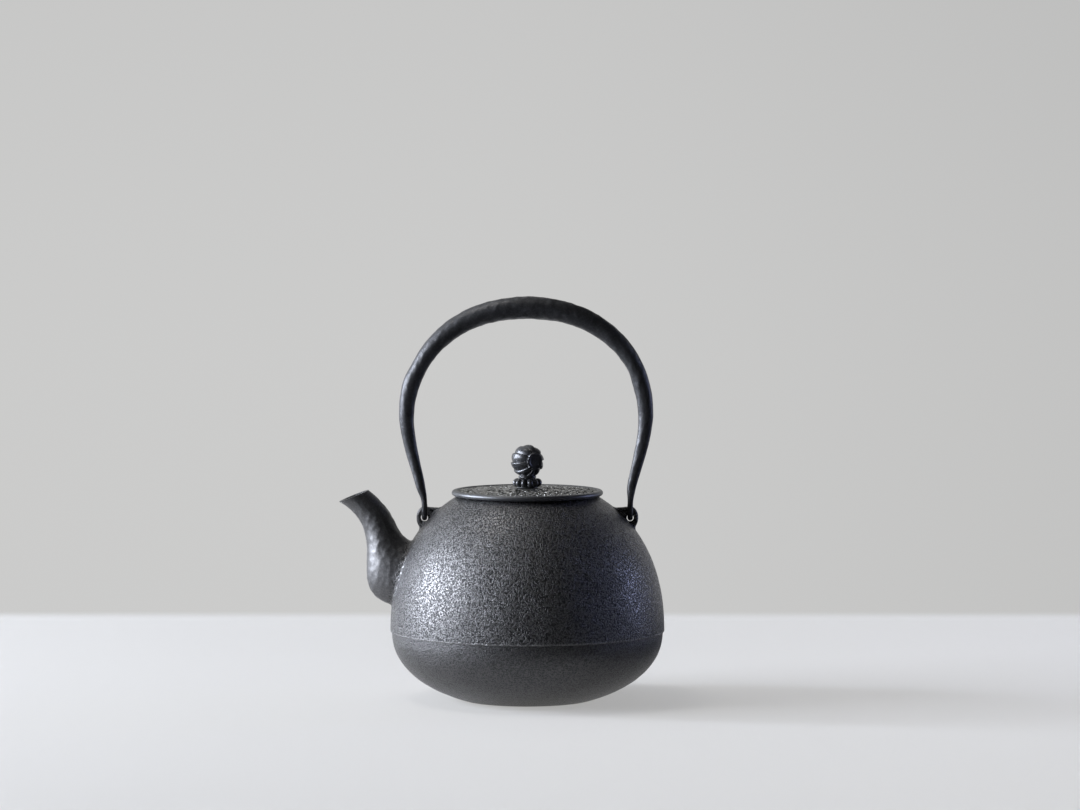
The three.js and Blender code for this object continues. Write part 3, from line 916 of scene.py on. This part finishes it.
def noise_of(tree, place, scale, detail, roughness, distortion=0.0):
    inputs = {"Vector": place, "Scale": scale, "Detail": detail}
    inputs |= {"Roughness": roughness, "Distortion": distortion}
    return node(tree, "ShaderNodeTexNoise", inputs).outputs["Fac"]


def group_of(name, inputs, outputs):
    tree = bpy.data.node_groups.new(name, "ShaderNodeTree")
    sockets = tree.interface
    kind = "NodeSocketFloat"
    for label, default in inputs:
        socket = sockets.new_socket(name=label, in_out="INPUT", socket_type=kind)
        socket.default_value = default
    for label in outputs:
        sockets.new_socket(name=label, in_out="OUTPUT", socket_type=kind)
    return tree, tree.nodes.new("NodeGroupInput"), tree.nodes.new("NodeGroupOutput")


def cast_grain():
    """Wrinkled sand-cast skin: short wrinkles a given size in mm apart, over softer lumps."""
    tree, given, out = group_of("cast grain", [("Size", 2.0), ("Lumps", 0.35)], ["Height", "Ridge"])
    place = object_place(tree)
    scale = math_node(tree, "DIVIDE", 1000.0, given.outputs["Size"])
    wrinkles = noise_of(tree, place, times(tree, scale, 1.45), 1.0, 0.5, 0.8)
    ridge = ranged(tree, wrinkles, 0.37, 0.64)
    finer = noise_of(tree, place, times(tree, scale, 2.6), 1.0, 0.5, 0.4)
    height = times_plus(tree, finer, 0.1, ridge)
    lumps = noise_of(tree, place, times(tree, scale, 0.4), 3.0, 0.6)
    total = times_plus(tree, lumps, given.outputs["Lumps"], height)
    tree.links.new(total, out.inputs["Height"])
    tree.links.new(ridge, out.inputs["Ridge"])
    return tree


def beaten_skin():
    """Hammered iron: shallow marks of a given size in mm, with fine scale over them."""
    tree, given, out = group_of("beaten skin", [("Mark", 3.5)], ["Height", "Wear"])
    place = object_place(tree)
    scale = math_node(tree, "DIVIDE", 1000.0, given.outputs["Mark"])
    inputs = {"Vector": place, "Scale": scale, "Smoothness": 0.35, "Randomness": 1.0}
    cells = node(tree, "ShaderNodeTexVoronoi", inputs, feature="SMOOTH_F1").outputs["Distance"]
    fine = noise_of(tree, place, times(tree, scale, 2.6), 4.0, 0.62, 0.3)
    broad = noise_of(tree, place, times(tree, scale, 0.7), 3.0, 0.6)
    total = times_plus(tree, fine, 0.55, times(tree, cells, 0.9))
    total = times_plus(tree, broad, 0.5, total)
    tree.links.new(total, out.inputs["Height"])
    tree.links.new(ranged(tree, fine, 0.42, 0.72), out.inputs["Wear"])
    return tree


GRAIN_GROUP = cast_grain()
BEATEN_GROUP = beaten_skin()


def grain(tree, size, lumps):
    inputs = {"Size": size, "Lumps": lumps}
    return node(tree, "ShaderNodeGroup", inputs, node_tree=GRAIN_GROUP).outputs


def hammered(tree, mark):
    return node(tree, "ShaderNodeGroup", {"Mark": mark}, node_tree=BEATEN_GROUP).outputs


def bumped(tree, shader, height, depth):
    """Bump of a depth in mm."""
    made = node(tree, "ShaderNodeBump", {"Height": height, "Strength": 1.0, "Distance": depth * MM})
    tree.links.new(made.outputs["Normal"], shader.inputs["Normal"])


def rgb(red, green, blue):
    return (red, green, blue, 1)


def grey(tone):
    return rgb(tone, tone, tone)


# Materials

def new_material(name):
    material = bpy.data.materials.new(name)
    material.use_nodes = True
    return material, material.node_tree


def iron(name, metallic):
    material, tree = new_material(name)
    shader = tree.nodes["Principled BSDF"]
    shader.inputs["Metallic"].default_value = metallic
    return material, tree, shader


def coloured(tree, shader, colour, roughness):
    tree.links.new(colour, shader.inputs["Base Color"])
    tree.links.new(roughness, shader.inputs["Roughness"])


def body_material():
    """Light ridges over dark iron, finer below the ledge, hammered on the spout, with a painted
    highlight along the ledge's edge.
    """
    material, tree, shader = iron("cast iron of the body", metallic=0.9)
    place = object_place(tree)
    height = split(tree, place)["Z"]
    above = ranged(tree, height, LEDGE_HEIGHT - 0.4 * MM, LEDGE_TOP)
    on_spout = attribute(tree, "spout")
    coarse = grain(tree, size=1.35, lumps=0.2)
    fine = grain(tree, size=1.2, lumps=0.3)
    beaten = hammered(tree, mark=2.8)
    below = times(tree, fine["Height"], 0.6)
    skin = mixed(tree, above, below, coarse["Height"])
    dents = times(tree, beaten["Height"], 0.45)
    bumped(tree, shader, mixed(tree, on_spout, skin, dents), depth=0.2)

    tone = ranged(tree, noise_of(tree, place, 28.0, 4.0, 0.6), 0.35, 0.68)
    base = mixed_colour(tree, tone, rgb(0.018, 0.018, 0.02), rgb(0.028, 0.028, 0.03))
    light_below = times_plus(tree, fine["Ridge"], 0.25, 0.12)
    light_above = times_plus(tree, coarse["Ridge"], 0.46, 0.04)
    light_spout = times_plus(tree, beaten["Wear"], 0.2, 0.3)
    light = mixed(tree, above, light_below, light_above)
    light = mixed(tree, on_spout, light, light_spout)
    # Painted highlight: a light band along the ledge's edge, where the edge catches the light
    past_edge = ranged(tree, height, LEDGE_TOP + 0.1 * MM, LEDGE_TOP + 0.9 * MM)
    ledge_highlight = math_node(tree, "SUBTRACT", above, past_edge)
    light = times_plus(tree, ledge_highlight, 0.35, light)
    colour = mixed_colour(tree, light, base, rgb(0.32, 0.32, 0.325))

    rough = mixed(tree, above, 0.37, ranged(tree, coarse["Ridge"], 0.0, 1.0, 0.44, 0.35))
    rough = mixed(tree, on_spout, rough, 0.5)
    coloured(tree, shader, colour, rough)
    return material


def inside_material():
    material, tree, shader = iron("bare iron inside", metallic=0.3)
    bumped(tree, shader, grain(tree, size=1.8, lumps=0.7)["Height"], depth=0.18)
    tone = ranged(tree, noise_of(tree, object_place(tree), 45.0, 5.0, 0.65), 0.4, 0.65)
    colour = mixed_colour(tree, tone, rgb(0.05, 0.052, 0.055), rgb(0.085, 0.078, 0.07))
    coloured(tree, shader, colour, ranged(tree, tone, 0.0, 1.0, 0.55, 0.75))
    return material


def handle_material():
    material, tree, shader = iron("baked iron of the handle", metallic=0.7)
    beaten = hammered(tree, mark=3.0)
    bumped(tree, shader, beaten["Height"], depth=0.22)
    tone = ranged(tree, noise_of(tree, object_place(tree), 40.0, 4.0, 0.6), 0.35, 0.65)
    base = mixed_colour(tree, tone, rgb(0.04, 0.041, 0.045), rgb(0.06, 0.061, 0.066))
    worn = times(tree, beaten["Wear"], 0.45)
    colour = mixed_colour(tree, worn, base, rgb(0.1, 0.1, 0.104))
    coloured(tree, shader, colour, ranged(tree, beaten["Wear"], 0.0, 1.0, 0.48, 0.38))
    return material


def lid_material():
    """A smooth rim round a field with light, smoother relief over dark pits, whose dark is painted
    shade.
    """
    material, tree, shader = iron("cast iron of the lid", metallic=0.75)
    place = object_place(tree)
    parts = split(tree, place)
    radius = distance(tree, parts["X"], parts["Y"])
    rim = ranged(tree, radius, LID_FIELD_RADIUS - 0.3 * MM, LID_FIELD_RADIUS + 0.2 * MM)
    rim_height = times(tree, noise_of(tree, place, 900.0, 3.0, 0.6), 0.12)
    field_height = grain(tree, size=1.9, lumps=0.6)["Height"]
    bumped(tree, shader, mixed(tree, rim, field_height, rim_height), depth=0.4)
    tone = ranged(tree, noise_of(tree, place, 35.0, 4.0, 0.6), 0.35, 0.65)
    # Painted shade: the pits of the field's relief are drawn much darker than the rim's iron
    pit_shade = mixed_colour(tree, tone, grey(0.012), grey(0.022))
    relief = attribute(tree, "relief")
    field = mixed_colour(tree, relief, pit_shade, rgb(0.27, 0.268, 0.258))
    colour = mixed_colour(tree, rim, field, rgb(0.1, 0.103, 0.11))
    rough = mixed(tree, rim, ranged(tree, relief, 0.0, 1.0, 0.7, 0.25), 0.42)
    coloured(tree, shader, colour, rough)
    return material


def smooth_material(name, metallic, fineness, depth, patches, dark, light, roughness):
    """Metal with a fine even skin and slow patches from dark to light."""
    material, tree, shader = iron(name, metallic)
    place = object_place(tree)
    fine = noise_of(tree, place, fineness, 3.0, 0.6)
    bumped(tree, shader, fine, depth)
    scale, low, high = patches
    tone = ranged(tree, noise_of(tree, place, scale, 4.0, 0.6), low, high)
    colour = mixed_colour(tree, tone, dark, light)
    coloured(tree, shader, colour, ranged(tree, fine, 0.3, 0.7, *roughness))
    return material


def knob_material():
    return smooth_material(
        "smooth iron of the knob", metallic=0.7, fineness=1100.0, depth=0.07,
        patches=(160.0, 0.35, 0.7), dark=rgb(0.065, 0.067, 0.073), light=rgb(0.1, 0.102, 0.108),
        roughness=(0.27, 0.38),
    )


def washer_material():
    return smooth_material(
        "dull steel of the washer", metallic=0.9, fineness=700.0, depth=0.05,
        patches=(300.0, 0.3, 0.7), dark=rgb(0.10, 0.095, 0.09), light=rgb(0.17, 0.15, 0.13),
        roughness=(0.38, 0.55),
    )


# Studio: spans and places are in metres

FLOOR_TONE = grey(0.68)
FLOOR_GLOW_LEFT = rgb(0.61, 0.605, 0.59)
FLOOR_GLOW_RIGHT = rgb(0.85, 0.845, 0.83)
FLOOR_GLOW_SPAN = (-0.45, 0.4)
FLOOR_GLOW_SHARE = 0.5
TABLE_RADIUS = 0.05
TABLE_FADE = 0.12
FLOOR_DEPTH = 4
FLOOR_DROP = 0.02 * MM
WALL_TONE = rgb(0.60, 0.60, 0.595)
# Painted shade on the wall: it is drawn darker to the right and high up
WALL_SHADE = grey(0.2)
WALL_SIDE_SPAN = (-0.1, 0.55)
WALL_SIDE_SHADE = 0.16
WALL_HIGH_SPAN = (0.15, 0.62)
WALL_HIGH_SHADE = 0.10
WALL_FOOT_SPAN = (1 * MM, 6 * MM)
WALL_BEHIND = 433 * MM
WALL_HEIGHT = 3
BACKDROP_WIDTH = 6
COVE_START = 0.3
COVE_RADIUS = 18 * MM
COVE_STEPS = 8
WINDOW_GLOW = rgb(0.95, 0.98, 1.0)
WINDOW_GLOW_SPAN = (0.22, 0.42)
DARK_ROOM = grey(0.06)
DARK_HIGH_SPAN = (0.32, 0.6)
DARK_RIGHT_SPAN = (-0.15, 0.25)
CARD_X = -2.8
CARD_Y = (-1.6, 0.42)
CARD_Z = (0.02, 2.4)
CARD_GLOW = rgb(0.88, 0.93, 1.0)
ROOM_TONE = rgb(1.0, 0.985, 0.96)
ROOM_LIGHT = 0.03
PICTURE_PIXELS = 1080
FOCAL_PIXELS = 5000
SENSOR_MM = 36
CAMERA_PLACE = (7.6 * MM, -2994 * MM, 381 * MM)
CAMERA_DOWN_ANGLE = 3.895
KETTLE_MIDDLE = (0, 0, 0.08)
KETTLE_SHOULDER = (0, 0, 0.1)
# Lamps: name, place, aim, width, height, watts, colour
LAMPS = (
    ("window", (-2.1, -0.3, 0.66), KETTLE_MIDDLE, 1.45, 1.1, 84, (0.87, 0.91, 1.0)),
    ("side light", (-1.9, 0.36, 0.55), KETTLE_MIDDLE, 0.12, 1.0, 36, (0.82, 0.88, 1.0)),
    ("far window", (1.05, 0.29, 0.28), KETTLE_MIDDLE, 0.24, 0.45, 2.1, (0.5, 0.58, 1.0)),
    ("ceiling", (-0.5, 0.0, 1.45), KETTLE_SHOULDER, 0.4, 0.4, 4.6, (1.0, 0.96, 0.9)),
)


def seen_directly(tree):
    """1 where the camera, or a mirror-like or clear surface, sees the surface."""
    path = node(tree, "ShaderNodeLightPath").outputs
    either = math_node(tree, "MAXIMUM", path["Is Camera Ray"], path["Is Glossy Ray"])
    return math_node(tree, "MAXIMUM", either, path["Is Transmission Ray"])


def glossy_ray(tree):
    return node(tree, "ShaderNodeLightPath").outputs["Is Glossy Ray"]


def glowing(tree, colour):
    return node(tree, "ShaderNodeEmission", {"Color": colour, "Strength": 1.0}).outputs[0]


def diffuse(tree, colour):
    return node(tree, "ShaderNodeBsdfDiffuse", {"Color": colour}).outputs[0]


def clear(tree):
    return node(tree, "ShaderNodeBsdfTransparent").outputs[0]


def studio_material(name):
    material, tree = new_material(name)
    tree.nodes.remove(tree.nodes["Principled BSDF"])
    return material, tree


def show(tree, shader):
    tree.links.new(shader, tree.nodes["Material Output"].inputs["Surface"])


def floor_shader(tree, parts, glossy):
    """Pale table, brighter to the right. The kettle mirrors it dark away from its foot."""
    forward = math_node(tree, "MAXIMUM", times(tree, parts["Y"], -1.0), 0.0)
    to_right = math_node(tree, "MAXIMUM", parts["X"], 0.0)
    away = distance(tree, to_right, forward)
    beyond = ranged(tree, away, TABLE_RADIUS, TABLE_RADIUS + TABLE_FADE)
    far = times(tree, beyond, glossy)
    paper = diffuse(tree, mixed_colour(tree, far, FLOOR_TONE, DARK_ROOM))
    across = ranged(tree, parts["X"], *FLOOR_GLOW_SPAN)
    glow = glowing(tree, mixed_colour(tree, across, FLOOR_GLOW_LEFT, FLOOR_GLOW_RIGHT))
    near = math_node(tree, "SUBTRACT", FLOOR_GLOW_SHARE, times(tree, far, FLOOR_GLOW_SHARE))
    return mixed_shader(tree, times(tree, seen_directly(tree), near), paper, glow)


def wall_shader(tree, parts, glossy):
    """Wall with painted shade, darker to the right and high up. The kettle mirrors a window on its
    left, and a dark room high on its right.
    """
    side = ranged(tree, parts["X"], *WALL_SIDE_SPAN)
    high = ranged(tree, parts["Z"], *WALL_HIGH_SPAN)
    shade = times_plus(tree, side, WALL_SIDE_SHADE, times(tree, high, WALL_HIGH_SHADE))
    tone = mixed_colour(tree, shade, WALL_TONE, WALL_SHADE)
    to_left = ranged(tree, times(tree, parts["X"], -1.0), *WINDOW_GLOW_SPAN)
    tone = mixed_colour(tree, times(tree, to_left, glossy), tone, WINDOW_GLOW)
    dark_high = ranged(tree, parts["Z"], *DARK_HIGH_SPAN)
    dark_right = ranged(tree, parts["X"], *DARK_RIGHT_SPAN)
    unlit = times(tree, times(tree, dark_high, dark_right), glossy)
    tone = mixed_colour(tree, unlit, tone, DARK_ROOM)
    plain = diffuse(tree, WALL_TONE)
    return mixed_shader(tree, seen_directly(tree), plain, glowing(tree, tone))


def backdrop_material():
    """Paper under and behind the kettle, clear from behind."""
    material, tree = studio_material("pale paper")
    parts = split(tree, object_place(tree))
    glossy = glossy_ray(tree)
    floor = floor_shader(tree, parts, glossy)
    wall = wall_shader(tree, parts, glossy)
    up = ranged(tree, parts["Z"], *WALL_FOOT_SPAN)
    front = mixed_shader(tree, up, floor, wall)
    behind = node(tree, "ShaderNodeNewGeometry").outputs["Backfacing"]
    show(tree, mixed_shader(tree, behind, front, clear(tree)))
    return material


def card_material():
    """A bright card that only mirror-like surfaces see."""
    material, tree = studio_material("bright card")
    show(tree, mixed_shader(tree, glossy_ray(tree), clear(tree), glowing(tree, CARD_GLOW)))
    return material


def make_card():
    bm = bmesh.new()
    front, back = CARD_Y
    bottom, top = CARD_Z
    corners = ((front, bottom), (back, bottom), (back, top), (front, top))
    bm.faces.new([bm.verts.new((CARD_X, y, z)) for y, z in corners])
    card = object_of("card", bm, [card_material()])


def make_backdrop():
    bm = bmesh.new()
    path = [(-FLOOR_DEPTH, 0), (COVE_START, 0)]
    for step in range(COVE_STEPS + 1):
        angle = math.pi / 2 * step / COVE_STEPS
        back = WALL_BEHIND - COVE_RADIUS + COVE_RADIUS * math.sin(angle)
        path.append((back, COVE_RADIUS - COVE_RADIUS * math.cos(angle)))
    path.append((WALL_BEHIND, WALL_HEIGHT))
    corners = [bm.verts.new((-BACKDROP_WIDTH / 2, y, z - FLOOR_DROP)) for y, z in path]
    edges = [bm.edges.new(pair) for pair in zip(corners, corners[1:])]
    grown = bmesh.ops.extrude_edge_only(bm, edges=edges)["geom"]
    far = only(grown, bmesh.types.BMVert)
    bmesh.ops.translate(bm, vec=(BACKDROP_WIDTH, 0, 0), verts=far)
    bm.normal_update()
    if bm.faces[:][0].normal.z < 0:
        bmesh.ops.reverse_faces(bm, faces=bm.faces)
    for face in bm.faces:
        face.smooth = True
    backdrop = object_of("backdrop", bm, [backdrop_material()])


def lamp(name, place, aim, wide, tall, watts, colour):
    light = bpy.data.lights.new(name, "AREA")
    light.shape = "RECTANGLE"
    light.size = wide
    light.size_y = tall
    light.energy = watts
    light.color = colour
    made = linked(name, light)
    made.location = place
    made.rotation_euler = (Vector(aim) - Vector(place)).to_track_quat("-Z", "Y").to_euler()


def background(tree, colour, strength):
    inputs = {"Color": colour, "Strength": strength}
    return node(tree, "ShaderNodeBackground", inputs).outputs[0]


def make_world():
    """A dim room, which the camera sees as pale."""
    world = bpy.data.worlds.new("room")
    world.use_nodes = True
    tree = world.node_tree
    tree.nodes.clear()
    room = background(tree, ROOM_TONE, ROOM_LIGHT)
    seen = background(tree, grey(0.6), 1.0)
    camera_ray = node(tree, "ShaderNodeLightPath").outputs["Is Camera Ray"]
    both = mixed_shader(tree, camera_ray, room, seen)
    node(tree, "ShaderNodeOutputWorld", {"Surface": both})
    bpy.context.scene.world = world


def make_camera():
    camera = bpy.data.cameras.new("camera")
    camera.sensor_width = SENSOR_MM
    camera.lens = FOCAL_PIXELS / PICTURE_PIXELS * SENSOR_MM
    camera.clip_start = 0.1
    camera.clip_end = 50
    made = linked("camera", camera)
    made.location = CAMERA_PLACE
    made.rotation_euler = (math.radians(90 - CAMERA_DOWN_ANGLE), 0, 0)
    bpy.context.scene.camera = made


make_camera()
make_world()
make_backdrop()
bpy.context.scene.view_settings.view_transform = "Standard"
for values in LAMPS:
    lamp(*values)
make_card()

make_body([body_material(), inside_material()])
make_handle([handle_material()])
make_lid([lid_material()])
knob_iron = knob_material()
make_knob([knob_iron])
make_seat([knob_iron])
make_washer([washer_material()])
